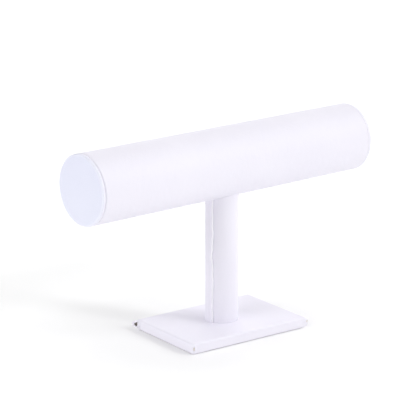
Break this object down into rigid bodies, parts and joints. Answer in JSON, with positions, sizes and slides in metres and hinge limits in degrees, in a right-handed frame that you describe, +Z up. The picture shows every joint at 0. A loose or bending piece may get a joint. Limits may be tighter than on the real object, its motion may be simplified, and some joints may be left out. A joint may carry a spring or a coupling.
{
  "type": "bracelet display stand",
  "caption": "T-shaped bracelet display stand: a level tube on a round post and a flat rectangular base, all covered in smooth white leatherette with glued lap seams.",
  "frame": {"origin": "middle of the underside, on the table, under the post", "axes": "+Z up, +X along the bar, +Y to the back; the base is turned 4 degrees clockwise about Z, seen from above"},
  "size_m": [0.25, 0.0756, 0.15],
  "materials": {
    "leatherette": "smooth white, matt",
    "fibreboard": "sawn",
    "wood": "plain",
    "cardboard": "spiral wound",
    "greyboard": "plain",
    "felt": "pressed felt",
    "plated_steel": "zinc plated"
  },
  "bodies": {
    "root": {"base_board": "fibreboard", "base_wrap": "leatherette", "base_lining": "felt", "post_core": "wood", "post_wrap": "leatherette", "bar_tube": "cardboard", "bar_wrap": "leatherette", "bar_block": "wood", "through_bolt": "plated_steel", "tee_nut": "plated_steel", "left_cap_board": "greyboard", "left_cap_wrap": "leatherette", "left_cap_plug": "greyboard", "right_cap_board": "greyboard", "right_cap_wrap": "leatherette", "right_cap_plug": "greyboard"}
  },
  "joints": []
}
